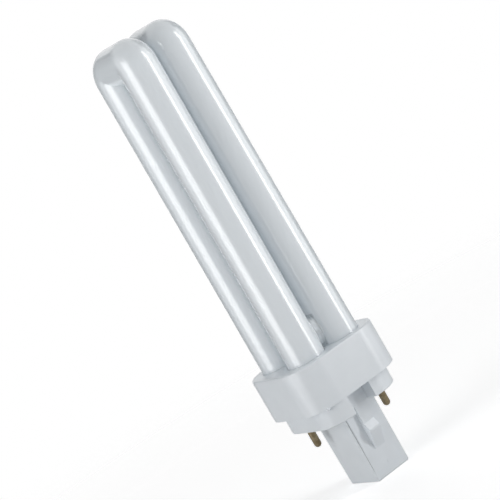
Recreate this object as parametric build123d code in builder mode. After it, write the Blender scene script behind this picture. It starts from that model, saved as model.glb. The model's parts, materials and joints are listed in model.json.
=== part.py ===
"""Compact fluorescent lamp: double twin tube on a two-pin plug-in cap. Millimetres, +Z along the tubes.

The origin is on the lamp's axis, at the underside of the cap's skirt, where the two pins come out.
The latch face seen in front is -Y, and the plug's plain wide face is -X.
"""
import os
from math import radians, tan

from build123d import *

os.makedirs("parts", exist_ok=True)

# Glass discharge tube
tube_dia = 12.0
tube_wall = 1.1
leg_spacing_x = 13.6
leg_spacing_y = 16.2
tube_lean = 0.32
bend_line_radius = 3.0
tube_top = 126.7
bridge_depth = 5.2
bridge_height = 9.4
bridge_wall = 1.0
bridge_above_collar = 0.9
seal_thick = 3.6
seal_width = 9.6
seal_length = 4.2
seal_neck = 3.0
closed_leg_end_above_floor = 10.5

# Collar, the upper moulding
collar_overhang = 2.35
collar_corner = 9.5
collar_height = 14.0
collar_wall = 1.6
collar_top_wall = 2.0
collar_rim_fillet = 0.6
leg_hole_clearance = 0.2

# Base housing, the lower moulding
skirt_corner = 8.5
skirt_height = 5.8
skirt_wall = 1.5
skirt_edge_fillet = 0.35
floor_thick = 1.6
flange_height = 1.6
flange_clearance = 0.12
notch_left = 6.3
notch_right = 3.55

# Plug with its latch ribs
plug_x = 13.2
plug_y = 16.4
plug_length = 22.8
plug_wall = 1.2
plug_draft = 0.7
plug_edge_fillet = 0.6
latch_width = 3.9
latch_rise = 1.35
latch_crest = 2.6
latch_step_z = -5.6
latch_crest_z = -8.4
latch_crest_flat = 0.6
latch_end_z = -14.6
seam_width = 0.22
seam_depth = 0.25
seam_from_edge = 0.6
seam_end_gap = 3.4
gate_mark_dia = 1.0
gate_mark_proud = 0.12
gate_mark_z = -19.3

# Contact pins
pin_dia = 2.3
pin_length = 6.6
pin_spacing = 24.0
pin_angle = -23.0
pin_collar_dia = 3.6
pin_collar_height = 0.8
pin_tail = 1.4
pin_tail_dia = 1.9
pin_neck_dia = 1.7
pin_flange_dia = 3.2
pin_flange_height = 0.2
pin_fit = 0.03
pin_to_skirt_wall = 0.388

# Cement in the collar
cement_side_gap = 0.9
cement_depth = 3.4
cement_clearance = 0.04

# Wires, sleeves and splices
wire_dia = 0.5
sleeve_dia = 1.1
sleeve_fit = 0.04
sleeve_end_gap = 0.7
wire_end_run = 1.2
seal_wire_spread = 2.5
splice_dia = 1.9
splice_length = 3.6
splice_x = 3.2
splice_y = -0.6
splice_bottom_z = 2.2

# Starter and capacitor in the plug
starter_dia = 7.4
starter_length = 16.5
starter_y = 2.5
starter_bottom_gap = 0.3
starter_lead_spread = 1.3
starter_lead_rise = 2.0
capacitor_x = 7.6
capacitor_y = 3.2
capacitor_length = 8.6
capacitor_wall_gap = 0.35
capacitor_bottom_gap = 0.3
capacitor_fillet = 0.9
capacitor_lead_spread = 2.4
capacitor_lead_rise = 3.0

# Worked out from the sizes above
leg_x = leg_spacing_x / 2
leg_y = leg_spacing_y / 2
tube_r = tube_dia / 2
pin_points = [Vector(pin_spacing / 2, 0).rotate(Axis.Z, pin_angle + turn) for turn in (180, 0)]
skirt_width = 2 * (pin_points[1].X + pin_collar_dia / 2 + pin_to_skirt_wall + skirt_wall)
collar_width = skirt_width + 2 * collar_overhang
collar_top_z = skirt_height + collar_height
collar_under_z = collar_top_z - collar_top_wall
bend_z = tube_top - tube_r - bend_line_radius
seal_neck_z = collar_under_z - cement_depth - 0.6
seal_top_z = seal_neck_z - seal_neck
seal_bottom_z = seal_top_z - seal_length
closed_leg_z = floor_thick + closed_leg_end_above_floor
seal_x = leg_x + (collar_top_z - seal_bottom_z) * tan(radians(tube_lean))
flange_top_z = skirt_height + flange_height
flange_width = collar_width - 2 * (collar_wall + flange_clearance)
flange_corner = collar_corner - collar_wall - flange_clearance
notch_floor_y = -(plug_y / 2 + latch_rise)
key_pad_y = -collar_width / 2
plug_cavity_bottom_z = -plug_length + plug_wall
cement_width = collar_width - 2 * (collar_wall + cement_side_gap)
cement_corner = collar_corner - collar_wall - cement_side_gap


def fillet_below(limit, wanted):
    """A fillet radius that its wall can carry."""
    return min(wanted, limit)


def u_tube(radius, wall):
    """One U tube with a squared bend: a domed leg on -Y, an electrode leg on +Y, without its lower seal."""
    with BuildPart(mode=Mode.PRIVATE) as tube:
        for side, leg_end_z in ((-1, closed_leg_z + tube_r), (1, seal_neck_z)):
            with BuildSketch(Plane.XY.offset(bend_z)):
                with Locations((0, side * leg_y)):
                    Circle(radius)
            extrude(amount=leg_end_z + wall - bend_z)
            # Outer half of the bend, turned about a line along X
            hinge = Vector(0, side * (leg_y - bend_line_radius), bend_z)
            with BuildSketch(Plane.XY.offset(bend_z)):
                with Locations((0, side * leg_y)):
                    Circle(radius)
                with Locations((0, side * (leg_y - bend_line_radius - radius))):
                    Rectangle(2 * radius, 2 * radius, mode=Mode.SUBTRACT)
            revolve(axis=Axis(hinge, (side, 0, 0)), revolution_arc=90)
        with BuildSketch(Plane.XZ.offset(-(leg_y - bend_line_radius))):
            with Locations((0, bend_z + bend_line_radius)):
                Circle(radius)
        extrude(amount=2 * (leg_y - bend_line_radius))
        with Locations((0, -leg_y, closed_leg_z + tube_r + wall)):
            Sphere(radius)
    return tube.part


# Discharge tube: two U tubes, each leaning in a little from the collar up, and the bridge between them
outer_tube = u_tube(tube_r, 0)
inner_tube = u_tube(tube_r - tube_wall, tube_wall)
with BuildPart(mode=Mode.PRIVATE) as seal:
    with BuildSketch(Plane.XY.offset(seal_neck_z)):
        with Locations((0, leg_y)):
            Circle(tube_r)
    with BuildSketch(Plane.XY.offset(seal_top_z)):
        with Locations((0, leg_y)):
            RectangleRounded(seal_width, seal_thick, seal_thick * 0.4)
    loft()
    with BuildSketch(Plane.XY.offset(seal_top_z)):
        with Locations((0, leg_y)):
            RectangleRounded(seal_width, seal_thick, seal_thick * 0.4)
    extrude(amount=-seal_length)

bridge_z = collar_top_z + bridge_above_collar + bridge_height / 2
with BuildPart() as discharge_tube:
    for side in (-1, 1):
        hinge = Axis((side * leg_x, 0, collar_top_z), (0, 1, 0))
        add(outer_tube.moved(Location((side * leg_x, 0, 0))).rotate(hinge, -side * tube_lean))
        add(seal.part.moved(Location((side * leg_x, 0, 0))).rotate(hinge, -side * tube_lean))
    with BuildSketch(Plane.YZ):
        with Locations((-leg_y, bridge_z)):
            Ellipse(bridge_depth / 2, bridge_height / 2)
    extrude(amount=leg_x - tube_r + tube_wall, both=True)
    for side in (-1, 1):
        hinge = Axis((side * leg_x, 0, collar_top_z), (0, 1, 0))
        add(
            inner_tube.moved(Location((side * leg_x, 0, 0))).rotate(hinge, -side * tube_lean),
            mode=Mode.SUBTRACT,
        )
    with BuildSketch(Plane.YZ):
        with Locations((-leg_y, bridge_z)):
            Ellipse(bridge_depth / 2 - bridge_wall, bridge_height / 2 - bridge_wall)
    extrude(amount=leg_x - tube_r + 2 * tube_wall, both=True, mode=Mode.SUBTRACT)

# Collar
with BuildPart() as collar:
    with BuildSketch(Plane.XY.offset(skirt_height)):
        RectangleRounded(collar_width, collar_width, collar_corner)
    extrude(amount=collar_height)
    fillet(collar.faces().sort_by(Axis.Z)[-1].edges(), fillet_below(collar_wall * 0.9, collar_rim_fillet))
    with BuildSketch(Plane.XY.offset(skirt_height)):
        inner_width = collar_width - 2 * collar_wall
        RectangleRounded(inner_width, inner_width, collar_corner - collar_wall)
    extrude(amount=collar_height - collar_top_wall, mode=Mode.SUBTRACT)
    with GridLocations(leg_spacing_x, leg_spacing_y, 2, 2):
        with Locations((0, 0, collar_under_z)):
            Cylinder(
                tube_r + leg_hole_clearance,
                collar_top_wall,
                align=(Align.CENTER, Align.CENTER, Align.MIN),
                mode=Mode.SUBTRACT,
            )

# Outline of the skirt: rounded square, a pad flush with the collar beside the notch, and the notch
pad_width = skirt_width / 2 - notch_left
pad_length = -key_pad_y
notch_width = notch_left + notch_right
with BuildSketch() as skirt_outline:
    RectangleRounded(skirt_width, skirt_width, skirt_corner)
    with BuildSketch(mode=Mode.PRIVATE) as pad:
        with Locations((-notch_left, key_pad_y)):
            Rectangle(pad_width, pad_length, align=(Align.MAX, Align.MIN))
        pad_corner = pad.vertices().group_by(Axis.Y)[0].sort_by(Axis.X)[0]
        fillet(pad_corner, fillet_below(pad_width - 0.05, skirt_corner))
    add(pad.sketch)
    with Locations((-notch_left, key_pad_y)):
        Rectangle(
            notch_width,
            notch_floor_y - key_pad_y,
            align=(Align.MIN, Align.MIN),
            mode=Mode.SUBTRACT,
        )
with BuildSketch() as skirt_inside:
    RectangleRounded(skirt_width - 2 * skirt_wall, skirt_width - 2 * skirt_wall, skirt_corner - skirt_wall)
    with Locations((-notch_left - skirt_wall, key_pad_y)):
        Rectangle(
            notch_width + 2 * skirt_wall,
            notch_floor_y - key_pad_y + skirt_wall,
            align=(Align.MIN, Align.MIN),
            mode=Mode.SUBTRACT,
        )

# Base housing
with BuildPart() as base_housing:
    with BuildSketch():
        add(skirt_outline.sketch)
    extrude(amount=skirt_height)
    fillet(base_housing.faces().sort_by(Axis.Z)[0].edges(), skirt_edge_fillet)
    with BuildSketch(Plane.XY.offset(skirt_height)):
        RectangleRounded(flange_width, flange_width, flange_corner)
    extrude(amount=flange_height)
    # Plug, with the draft that lets it leave its mould
    with BuildSketch():
        RectangleRounded(plug_x, plug_y, plug_edge_fillet)
    extrude(amount=-plug_length, taper=plug_draft)
    fillet(base_housing.faces().sort_by(Axis.Z)[0].edges(), plug_edge_fillet)
    # One latch rib on each narrow face: a low tongue, a steep step, a crest and a long ramp
    for side in (-1, 1):
        root_y = side * (plug_y / 2 - plug_wall)
        with BuildSketch(Plane.YZ.offset(-latch_width / 2)):
            with BuildLine():
                Polyline(
                    (root_y, floor_thick),
                    (side * (plug_y / 2 + latch_rise), floor_thick),
                    (side * (plug_y / 2 + latch_rise), latch_step_z),
                    (side * (plug_y / 2 + latch_crest), latch_crest_z + latch_crest_flat),
                    (side * (plug_y / 2 + latch_crest), latch_crest_z),
                    (side * (plug_y / 2 - plug_wall / 3), latch_end_z),
                    (root_y, latch_end_z),
                    close=True,
                )
            make_face()
        extrude(amount=latch_width)
    # Inside of the skirt and flange
    with BuildSketch(Plane.XY.offset(floor_thick)):
        add(skirt_inside.sketch)
    extrude(amount=flange_top_z - floor_thick, mode=Mode.SUBTRACT)
    # Inside of the plug
    with BuildSketch(Plane.XY.offset(floor_thick)):
        RectangleRounded(plug_x - 2 * plug_wall, plug_y - 2 * plug_wall, plug_edge_fillet)
    extrude(amount=plug_cavity_bottom_z - floor_thick, taper=plug_draft, mode=Mode.SUBTRACT)
    # Pin holes
    with Locations([(point.X, point.Y, 0) for point in pin_points]):
        Cylinder(
            pin_neck_dia / 2 + pin_fit,
            floor_thick,
            align=(Align.CENTER, Align.CENTER, Align.MIN),
            mode=Mode.SUBTRACT,
        )
    # Mould seam along each latch face, near one edge
    for side in (-1, 1):
        seam_x = side * (plug_x / 2 - seam_from_edge - seam_width)
        with Locations((seam_x, side * plug_y / 2, 0)):
            Box(
                seam_width,
                2 * seam_depth,
                plug_length - seam_end_gap,
                align=(Align.CENTER, Align.CENTER, Align.MAX),
                mode=Mode.SUBTRACT,
            )

    # Gate mark low on the front latch face
    gate_face_y = -plug_y / 2 - gate_mark_z * tan(radians(plug_draft))
    with BuildSketch(Plane.XZ.offset(-gate_face_y - plug_wall / 2)):
        with Locations((0, gate_mark_z)):
            Circle(gate_mark_dia / 2)
    extrude(amount=plug_wall / 2 + gate_mark_proud)

# Contact pins: domed tip, shank, thin flange, neck through the floor, collar and wire socket inside
contact_pins = []
for point in pin_points:
    with BuildPart() as contact_pin:
        with Locations((point.X, point.Y, -pin_length + pin_dia / 2)):
            Sphere(pin_dia / 2)
            free_length = pin_length - pin_dia / 2
            Cylinder(pin_dia / 2, free_length, align=(Align.CENTER, Align.CENTER, Align.MIN))
        with Locations((point.X, point.Y, 0)):
            Cylinder(
                pin_flange_dia / 2,
                pin_flange_height,
                align=(Align.CENTER, Align.CENTER, Align.MAX),
            )
            Cylinder(
                pin_neck_dia / 2,
                floor_thick,
                align=(Align.CENTER, Align.CENTER, Align.MIN),
            )
        with Locations((point.X, point.Y, floor_thick)):
            Cylinder(
                pin_collar_dia / 2,
                pin_collar_height,
                align=(Align.CENTER, Align.CENTER, Align.MIN),
            )
            Cylinder(
                pin_tail_dia / 2,
                pin_collar_height + pin_tail,
                align=(Align.CENTER, Align.CENTER, Align.MIN),
            )
    contact_pins.append(contact_pin)
pin_top_z = floor_thick + pin_collar_height + pin_tail

# Cement under the collar's top, round the four legs
with BuildPart() as tube_cement:
    with BuildSketch(Plane.XY.offset(collar_under_z)):
        RectangleRounded(cement_width, cement_width, cement_corner)
        with GridLocations(leg_spacing_x, leg_spacing_y, 2, 2):
            Circle(tube_r + cement_clearance, mode=Mode.SUBTRACT)
    extrude(amount=-cement_depth)

# Starter bulb, standing in the plug
starter_bottom_z = plug_cavity_bottom_z + starter_bottom_gap
starter_top_z = starter_bottom_z + starter_length
with BuildPart() as starter_bulb:
    with Locations((0, starter_y, starter_bottom_z)):
        Cylinder(starter_dia / 2, starter_length, align=(Align.CENTER, Align.CENTER, Align.MIN))
    fillet(starter_bulb.edges().sort_by(Axis.Z)[0], starter_dia * 0.4)
    fillet(starter_bulb.edges().sort_by(Axis.Z)[-1], starter_dia * 0.25)

# Capacitor body beside it
capacitor_y_at = -(plug_y / 2 - plug_wall) + capacitor_wall_gap + capacitor_y / 2
capacitor_bottom_z = plug_cavity_bottom_z + capacitor_bottom_gap
capacitor_top_z = capacitor_bottom_z + capacitor_length
with BuildPart() as capacitor_body:
    with Locations((0, capacitor_y_at, capacitor_bottom_z)):
        Box(
            capacitor_x,
            capacitor_y,
            capacitor_length,
            align=(Align.CENTER, Align.CENTER, Align.MIN),
        )
    fillet(capacitor_body.edges(), capacitor_fillet)


def wire(points, radius):
    """A round wire through the points, with bends as large as their runs allow."""
    with BuildPart(mode=Mode.PRIVATE) as piece:
        with BuildLine() as path:
            FilletPolyline(*points, radius=bend_radius(points))
        with BuildSketch(Plane(origin=points[0], z_dir=path.line % 0)):
            Circle(radius)
        sweep()
    return piece.part


def sleeve(points):
    """A straight sleeve on the middle run of a wire, clear of its bends."""
    start, end = Vector(*points[1]), Vector(*points[2])
    end_gap = (end - start).normalized() * sleeve_end_gap
    with BuildPart(mode=Mode.PRIVATE) as piece:
        with BuildSketch(Plane(origin=start + end_gap, z_dir=end - start)):
            Circle(sleeve_dia / 2)
            Circle(wire_dia / 2 + sleeve_fit, mode=Mode.SUBTRACT)
        extrude(amount=(end - start).length - 2 * sleeve_end_gap)
    return piece.part


def bend_radius(points):
    """0.45 of the shorter run over the tangent of half the turn, for each corner, and the least of them."""
    radii = []
    for before, corner, after in zip(points, points[1:], points[2:]):
        first = Vector(*corner) - Vector(*before)
        second = Vector(*after) - Vector(*corner)
        turn = radians(first.get_angle(second))
        radii.append(0.45 * min(first.length, second.length) / tan(turn / 2))
    return min(radii)


# Splices: crimped ferrules between the electrode wires and the starter's leads
splices = []
for side in (-1, 1):
    with BuildPart() as splice:
        with Locations((side * splice_x, splice_y, splice_bottom_z)):
            Cylinder(
                splice_dia / 2,
                splice_length,
                align=(Align.CENTER, Align.CENTER, Align.MIN),
            )
        fillet(splice.edges().filter_by(GeomType.CIRCLE), splice_dia * 0.12)
    splices.append(splice)
splice_top_z = splice_bottom_z + splice_length

# Labels and files
named = {
    "discharge_tube": discharge_tube.part,
    "collar": collar.part,
    "base_housing": base_housing.part,
    "contact_pin_left": contact_pins[0].part,
    "contact_pin_right": contact_pins[1].part,
    "tube_cement": tube_cement.part,
    "starter_bulb": starter_bulb.part,
    "capacitor_body": capacitor_body.part,
    "splice_left": splices[0].part,
    "splice_right": splices[1].part,
}

# Starter and capacitor leads rise to their splice, side by side
lead_gap = wire_dia * 0.75
for side, word in ((-1, "left"), (1, "right")):
    end_x = side * splice_x
    starter_lead_points = [
        (side * starter_lead_spread, starter_y, starter_top_z),
        (side * starter_lead_spread, starter_y, starter_top_z + starter_lead_rise),
        (end_x, splice_y + lead_gap, splice_bottom_z - starter_lead_rise),
        (end_x, splice_y + lead_gap, splice_bottom_z),
    ]
    capacitor_lead_points = [
        (side * capacitor_lead_spread, capacitor_y_at, capacitor_top_z),
        (side * capacitor_lead_spread, capacitor_y_at, capacitor_top_z + capacitor_lead_rise),
        (end_x, splice_y - lead_gap, splice_bottom_z - capacitor_lead_rise),
        (end_x, splice_y - lead_gap, splice_bottom_z),
    ]
    named["starter_lead_" + word] = wire(starter_lead_points, wire_dia / 2)
    named["capacitor_lead_" + word] = wire(capacitor_lead_points, wire_dia / 2)

# Electrode wires leave the press seals: the outer two go to the pins, the inner two to the splices
for side, word, point in ((-1, "left", pin_points[0]), (1, "right", pin_points[1])):
    outer_x = side * (seal_x + seal_wire_spread)
    inner_x = side * (seal_x - seal_wire_spread)
    pin_wire_points = [
        (outer_x, leg_y, seal_bottom_z),
        (outer_x, leg_y, seal_bottom_z - wire_end_run),
        (point.X, point.Y, pin_top_z + wire_end_run),
        (point.X, point.Y, pin_top_z),
    ]
    splice_wire_points = [
        (inner_x, leg_y, seal_bottom_z),
        (inner_x, leg_y, seal_bottom_z - wire_end_run),
        (side * splice_x, splice_y, splice_top_z + wire_end_run),
        (side * splice_x, splice_y, splice_top_z),
    ]
    named["electrode_wire_pin_" + word] = wire(pin_wire_points, wire_dia / 2)
    named["electrode_wire_splice_" + word] = wire(splice_wire_points, wire_dia / 2)
    named["wire_sleeve_pin_" + word] = sleeve(pin_wire_points)
    named["wire_sleeve_splice_" + word] = sleeve(splice_wire_points)

for name, shape in named.items():
    shape.label = name
    export_step(shape, "parts/" + name + ".step")
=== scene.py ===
"""Looks for the compact fluorescent lamp: glossy white glass tubes, a satin white plastic cap, brass contact pins."""

import json
import math

import bpy
from mathutils import Matrix, Vector


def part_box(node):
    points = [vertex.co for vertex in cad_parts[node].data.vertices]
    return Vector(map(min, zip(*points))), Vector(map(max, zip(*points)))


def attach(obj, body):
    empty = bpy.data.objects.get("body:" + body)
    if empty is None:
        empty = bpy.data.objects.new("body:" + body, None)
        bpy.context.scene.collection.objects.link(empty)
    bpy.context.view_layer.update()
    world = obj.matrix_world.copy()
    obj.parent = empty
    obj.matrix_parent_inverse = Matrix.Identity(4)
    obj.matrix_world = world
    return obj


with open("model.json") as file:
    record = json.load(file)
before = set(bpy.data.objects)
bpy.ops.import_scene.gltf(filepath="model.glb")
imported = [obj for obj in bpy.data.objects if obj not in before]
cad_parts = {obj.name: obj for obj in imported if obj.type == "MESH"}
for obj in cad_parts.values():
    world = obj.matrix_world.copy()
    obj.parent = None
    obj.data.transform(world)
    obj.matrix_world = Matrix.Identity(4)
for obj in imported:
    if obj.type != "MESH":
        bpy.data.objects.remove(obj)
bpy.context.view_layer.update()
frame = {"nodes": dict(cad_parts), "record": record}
scene = bpy.context.scene

# Camera, fitted to the photograph
CAM_AZIMUTH = -27.9
CAM_ELEVATION = 6.3
CAM_DISTANCE = 0.588
CAM_AIM = Vector((0.0, 0.0, 0.060))
CAM_FOCAL = 144.0
CAM_SENSOR = 36.0
CAM_ROLL = 30.15
CAM_SHIFT = (0.0154, -0.0334)
CAM_CLIP_START = 0.01

# Places on the part, in metres: (low, high) along the object's axes
BRIDGE_X = (-0.0011, 0.0011)
BRIDGE_Z = (0.0200, 0.0304)
SEAM_MIDDLE_X = -0.00595
SEAM_HALF_WIDTH = 0.00007
SEAM_Y = (-0.0085, -0.0074)
SEAM_Z = (-0.0195, 0.0)
WELD_AT = Vector((-0.0129, -0.0155, 0.0057))
WELD_SIZE = (0.0007, 0.0007, 0.00035)

FLOOR_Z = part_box("base_housing")[0].z
FLOOR_RADIUS = 0.9
FLOOR_GLOW = 0.46
FLOOR_FADE = (0.10, 0.35)

# Azimuth, height of the middle, distance, width, height (m), power (W), and what it reaches
SOFTBOXES = {
    "left_softbox": (-88, 0.04, 0.60, 0.40, 0.75, 2.3, "both"),
    "left_sheen": (-92, 0.16, 0.62, 0.44, 0.75, 1.0, "gloss"),
    "right_strip": (42, 0.16, 0.70, 0.14, 0.85, 3.0, "both"),
    "right_sheen": (66, 0.16, 0.72, 0.50, 0.80, 1.6, "gloss"),
    "back_fill": (155, 0.12, 0.70, 0.45, 0.80, 1.8, "matt"),
}
AMBIENT = 0.38

# Dark cards behind the lamp, seen only in its reflections, that draw the tubes' edges: azimuth, distance, width,
# height (m)
CARDS = {"card_left": (-160, 0.55, 0.44, 0.8), "card_right": (104, 0.55, 0.44, 0.8)}


def new_material(name):
    material = bpy.data.materials.new(name)
    material.use_nodes = True
    nodes = material.node_tree.nodes
    nodes.clear()
    return material, nodes, material.node_tree.links


def principled(nodes, colour, roughness, **sockets):
    shader = nodes.new("ShaderNodeBsdfPrincipled")
    shader.inputs["Base Color"].default_value = (*colour, 1)
    shader.inputs["Roughness"].default_value = roughness
    for socket, value in sockets.items():
        shader.inputs[socket.replace("_", " ")].default_value = value
    return shader


def output(nodes, links, shader):
    links.new(shader, nodes.new("ShaderNodeOutputMaterial").inputs["Surface"])


def mixed(nodes, links, fac, first, second):
    """A mix of two shaders: the first at 0, the second at 1."""
    mix = nodes.new("ShaderNodeMixShader")
    links.new(fac, mix.inputs["Fac"])
    links.new(first, mix.inputs[1])
    links.new(second, mix.inputs[2])
    return mix.outputs["Shader"]


def maths(nodes, links, operation, first, second):
    node = nodes.new("ShaderNodeMath")
    node.operation = operation
    links.new(first, node.inputs[0])
    links.new(second, node.inputs[1])
    return node.outputs["Value"]


def smooth_step(nodes, links, value, start, end):
    """0 where the value is at start and 1 where it is at end, with a smooth run between them."""
    step = nodes.new("ShaderNodeMapRange")
    step.interpolation_type = "SMOOTHSTEP"
    step.inputs["From Min"].default_value = start
    step.inputs["From Max"].default_value = end
    links.new(value, step.inputs["Value"])
    return step.outputs["Result"]


def noise(nodes, links, scale, detail=2.0, stretch=None):
    """A noise in object coordinates, in cycles per metre."""
    coords = nodes.new("ShaderNodeTexCoord")
    texture = nodes.new("ShaderNodeTexNoise")
    texture.inputs["Scale"].default_value = scale
    texture.inputs["Detail"].default_value = detail
    if stretch:
        mapping = nodes.new("ShaderNodeMapping")
        mapping.inputs["Scale"].default_value = stretch
        links.new(coords.outputs["Object"], mapping.inputs["Vector"])
        links.new(mapping.outputs["Vector"], texture.inputs["Vector"])
    else:
        links.new(coords.outputs["Object"], texture.inputs["Vector"])
    return texture.outputs["Fac"]


def vary(nodes, links, fac, low, high, shader):
    """Puts a colour between low and high, by fac, on a shader's base."""
    ramp = nodes.new("ShaderNodeValToRGB")
    ramp.color_ramp.elements[0].position = 0.35
    ramp.color_ramp.elements[1].position = 0.65
    ramp.color_ramp.elements[0].color = (*low, 1)
    ramp.color_ramp.elements[1].color = (*high, 1)
    links.new(fac, ramp.inputs["Fac"])
    links.new(ramp.outputs["Color"], shader.inputs["Base Color"])


def bump(nodes, links, fac, distance, shader, strength=1.0, socket="Normal"):
    node = nodes.new("ShaderNodeBump")
    node.inputs["Strength"].default_value = strength
    node.inputs["Distance"].default_value = distance
    links.new(fac, node.inputs["Height"])
    links.new(node.outputs["Normal"], shader.inputs[socket])


def inside_band(nodes, links, axis, low, high, soft):
    """1 between low and high along an axis of the object, in metres, and 0 outside, with a soft edge."""
    coords = nodes.new("ShaderNodeTexCoord")
    split = nodes.new("ShaderNodeSeparateXYZ")
    links.new(coords.outputs["Object"], split.inputs["Vector"])
    place = split.outputs[axis]
    rise = smooth_step(nodes, links, place, low - soft, low + soft)
    fall = smooth_step(nodes, links, place, high + soft, high - soft)
    return maths(nodes, links, "MULTIPLY", rise, fall)


def phosphor_glass():
    """White phosphor behind clear glass, with a faint painted glow, and the clear bridge between the two front legs.
    """
    material, nodes, links = new_material("phosphor_glass")
    white = principled(
        nodes, (0.64, 0.685, 0.72), 0.45,
        Coat_Weight=1.0, Coat_Roughness=0.20, Coat_IOR=1.8, Specular_IOR_Level=0.2,
        Subsurface_Weight=0.5, Subsurface_Radius=(1, 1, 1), Subsurface_Scale=0.006,
        # The emission is painted light: a faint glow on the unlit tubes that lifts the shade between them
        Emission_Color=(0.92, 0.97, 1.0, 1), Emission_Strength=0.08,
    )
    streaks = noise(nodes, links, 60, 3, (1, 1, 0.25))
    vary(nodes, links, streaks, (0.63, 0.675, 0.71), (0.65, 0.695, 0.73), white)
    bump(nodes, links, noise(nodes, links, 90, 1, (1, 1, 0.3)), 0.00002, white, 0.6, "Coat Normal")
    clear = principled(nodes, (0.78, 0.82, 0.84), 0.04, Transmission_Weight=0.85, IOR=1.5, Coat_Weight=0.5)
    across = inside_band(nodes, links, "X", *BRIDGE_X, 0.00015)
    along = inside_band(nodes, links, "Z", *BRIDGE_Z, 0.0002)
    bridge = maths(nodes, links, "MULTIPLY", across, along)
    patchy = maths(nodes, links, "MULTIPLY", bridge, noise(nodes, links, 900, 2, (1, 1, 0.5)))
    output(nodes, links, mixed(nodes, links, patchy, white.outputs["BSDF"], clear.outputs["BSDF"]))
    return material


def cap_plastic():
    """Satin white moulding with the faint grain of its mould."""
    material, nodes, links = new_material("cap_plastic")
    shader = principled(nodes, (0.75, 0.79, 0.825), 0.30, Specular_IOR_Level=0.7)
    vary(nodes, links, noise(nodes, links, 180, 3), (0.74, 0.78, 0.815), (0.76, 0.80, 0.835), shader)
    bump(nodes, links, noise(nodes, links, 900, 2), 0.00001, shader, 0.5)
    # A thin dark grey line along the plug's front edge, on the mould's parting line
    dark_line = principled(nodes, (0.30, 0.31, 0.32), 0.7)
    vary(nodes, links, noise(nodes, links, 400, 2), (0.26, 0.27, 0.28), (0.34, 0.35, 0.36), dark_line)
    low, high = SEAM_MIDDLE_X - SEAM_HALF_WIDTH, SEAM_MIDDLE_X + SEAM_HALF_WIDTH
    across = inside_band(nodes, links, "X", low, high, 0.00004)
    along = inside_band(nodes, links, "Z", *SEAM_Z, 0.0015)
    front = inside_band(nodes, links, "Y", *SEAM_Y, 0.0001)
    seam = maths(nodes, links, "MULTIPLY", maths(nodes, links, "MULTIPLY", across, along), front)
    output(nodes, links, mixed(nodes, links, seam, shader.outputs["BSDF"], dark_line.outputs["BSDF"]))
    return material


def pin_brass():
    material, nodes, links = new_material("pin_brass")
    shader = principled(nodes, (0.30, 0.25, 0.16), 0.16, Metallic=1.0)
    vary(nodes, links, noise(nodes, links, 500, 3), (0.22, 0.17, 0.10), (0.38, 0.32, 0.21), shader)
    bump(nodes, links, noise(nodes, links, 1500, 2, (1, 1, 6)), 0.00001, shader, 0.5)
    output(nodes, links, shader.outputs["BSDF"])
    return material


def plain(name, low, high, roughness, scale, depth, **sockets):
    """A procedural finish for the pieces inside the cap: two shades mixed by a noise, with a bump."""
    material, nodes, links = new_material(name)
    shader = principled(nodes, high, roughness, **sockets)
    vary(nodes, links, noise(nodes, links, scale, 4), low, high, shader)
    bump(nodes, links, noise(nodes, links, scale * 2, 3), depth, shader)
    output(nodes, links, shader.outputs["BSDF"])
    return material


FINISHES = {
    "phosphor_glass": phosphor_glass(),
    "cap_plastic": cap_plastic(),
    "pin_brass": pin_brass(),
    "cement": plain("cement", (0.62, 0.60, 0.55), (0.76, 0.74, 0.69), 0.9, 700, 0.0001),
    "starter_glass": plain(
        "starter_glass", (0.86, 0.89, 0.89), (0.92, 0.94, 0.94), 0.05, 200, 0.00001, Transmission_Weight=0.8
    ),
    "capacitor_resin": plain("capacitor_resin", (0.50, 0.20, 0.06), (0.62, 0.28, 0.10), 0.35, 400, 0.00003),
    "tinned_metal": plain(
        "tinned_metal", (0.58, 0.58, 0.57), (0.72, 0.72, 0.71), 0.35, 900, 0.00001, Metallic=1.0
    ),
    "sleeve_fabric": plain("sleeve_fabric", (0.74, 0.73, 0.67), (0.88, 0.87, 0.82), 0.85, 2500, 0.00004),
}
for entry in frame["record"]["subparts"]:
    mesh = frame["nodes"][entry["node"]].data
    mesh.materials.clear()
    mesh.materials.append(FINISHES[entry["material_slot"]])


# Weld flash: the small bead left where the collar is welded to the base
bpy.ops.mesh.primitive_uv_sphere_add(segments=24, ring_count=12, radius=1, location=WELD_AT)
weld_flash = bpy.context.object
weld_flash.name = "weld_flash"
weld_flash.scale = WELD_SIZE
bpy.ops.object.shade_smooth()
weld_flash.data.materials.append(FINISHES["cap_plastic"])
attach(weld_flash, "root")


def round_back(azimuth, elevation=0.0):
    """The direction from the object towards a viewer at that azimuth and elevation."""
    a, e = math.radians(azimuth), math.radians(elevation)
    return Vector((math.sin(a) * math.cos(e), -math.cos(a) * math.cos(e), math.sin(e)))


def set_round(thing, azimuth, distance, height):
    """Stands a lamp or card round the object at that azimuth, with its back turned away from the object."""
    back = round_back(azimuth)
    thing.location = back * distance + Vector((0, 0, height))
    thing.rotation_mode = "QUATERNION"
    thing.rotation_quaternion = back.to_track_quat("Z", "Y")


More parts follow.
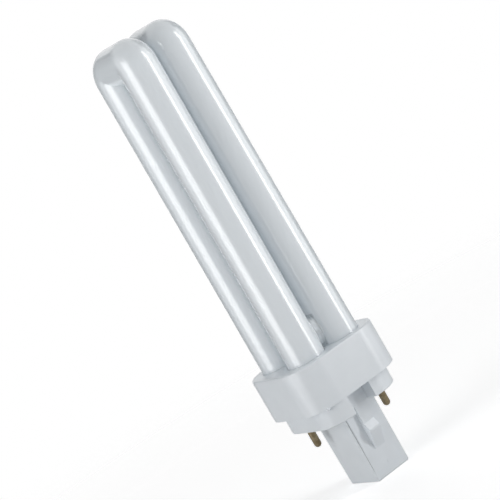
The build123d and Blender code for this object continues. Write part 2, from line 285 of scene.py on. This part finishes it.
def floor_material():
    """Pale floor that keeps the shadow, and fades into the white background with distance."""
    material, nodes, links = new_material("floor_paper")
    paper = nodes.new("ShaderNodeBsdfDiffuse")
    paper.inputs["Color"].default_value = (0.90, 0.90, 0.90, 1)
    glow = nodes.new("ShaderNodeEmission")
    level = nodes.new("ShaderNodeMath")
    level.operation = "MULTIPLY"
    level.inputs[1].default_value = FLOOR_GLOW
    links.new(nodes.new("ShaderNodeLightPath").outputs["Is Camera Ray"], level.inputs[0])
    links.new(level.outputs["Value"], glow.inputs["Strength"])
    lit = nodes.new("ShaderNodeAddShader")
    links.new(paper.outputs["BSDF"], lit.inputs[0])
    links.new(glow.outputs["Emission"], lit.inputs[1])
    distance = nodes.new("ShaderNodeVectorMath")
    distance.operation = "LENGTH"
    links.new(nodes.new("ShaderNodeTexCoord").outputs["Object"], distance.inputs[0])
    fade = smooth_step(nodes, links, distance.outputs["Value"], *FLOOR_FADE)
    clear = nodes.new("ShaderNodeBsdfTransparent")
    output(nodes, links, mixed(nodes, links, fade, lit.outputs["Shader"], clear.outputs["BSDF"]))
    return material


def card_felt():
    material, nodes, links = new_material("card_felt")
    felt = principled(nodes, (0.04, 0.04, 0.042), 0.9)
    vary(nodes, links, noise(nodes, links, 300, 3), (0.03, 0.03, 0.032), (0.05, 0.05, 0.052), felt)
    output(nodes, links, felt.outputs["BSDF"])
    return material


bpy.ops.mesh.primitive_circle_add(
    vertices=96, radius=FLOOR_RADIUS, fill_type="NGON", location=(0, 0, FLOOR_Z)
)
floor = bpy.context.object
floor.name = "floor"
floor.data.materials.append(floor_material())

# World: white for what looks at it, a plain level for what it lights
world = bpy.data.worlds.new("studio")
scene.world = world
world.use_nodes = True
nodes, links = world.node_tree.nodes, world.node_tree.links
nodes.clear()
rays = nodes.new("ShaderNodeLightPath").outputs
seen = maths(nodes, links, "MAXIMUM", rays["Is Camera Ray"], rays["Is Glossy Ray"])
seen = maths(nodes, links, "MAXIMUM", seen, rays["Is Transmission Ray"])
strength = nodes.new("ShaderNodeMapRange")
strength.inputs["To Min"].default_value = AMBIENT
strength.inputs["To Max"].default_value = 1.0
links.new(seen, strength.inputs["Value"])
background = nodes.new("ShaderNodeBackground")
background.inputs["Color"].default_value = (1, 1, 1, 1)
links.new(strength.outputs["Result"], background.inputs["Strength"])
links.new(background.outputs["Background"], nodes.new("ShaderNodeOutputWorld").inputs["Surface"])

for name, (azimuth, height, distance, width, tall, power, reaches) in SOFTBOXES.items():
    lamp = bpy.data.lights.new(name, "AREA")
    lamp.shape = "RECTANGLE"
    lamp.size = width
    lamp.size_y = tall
    lamp.energy = power
    holder = bpy.data.objects.new(name, lamp)
    scene.collection.objects.link(holder)
    set_round(holder, azimuth, distance, height)
    holder.visible_diffuse = reaches != "gloss"
    holder.visible_glossy = reaches != "matt"

card_material = card_felt()
for name, (azimuth, distance, width, tall) in CARDS.items():
    bpy.ops.mesh.primitive_plane_add(size=1)
    card = bpy.context.object
    card.name = name
    set_round(card, azimuth, distance, tall / 4)
    card.scale = (width, tall, 1)
    card.data.materials.append(card_material)
    card.visible_camera = False

# Camera, rolled so that the lamp leans as it does in the photograph
back = round_back(CAM_AZIMUTH, CAM_ELEVATION)
side = Vector((math.cos(math.radians(CAM_AZIMUTH)), math.sin(math.radians(CAM_AZIMUTH)), 0))
upward = back.cross(side)
roll = math.radians(CAM_ROLL)
right = side * math.cos(roll) - upward * math.sin(roll)
top = side * math.sin(roll) + upward * math.cos(roll)
lens = bpy.data.cameras.new("camera")
lens.sensor_width = CAM_SENSOR
lens.lens = CAM_FOCAL
lens.shift_x, lens.shift_y = CAM_SHIFT
lens.clip_start = CAM_CLIP_START
camera = bpy.data.objects.new("camera", lens)
scene.collection.objects.link(camera)
turn = Matrix((right, top, back)).transposed().to_4x4()
camera.matrix_world = Matrix.Translation(CAM_AIM + back * CAM_DISTANCE) @ turn
scene.camera = camera

scene.view_settings.view_transform = "Standard"
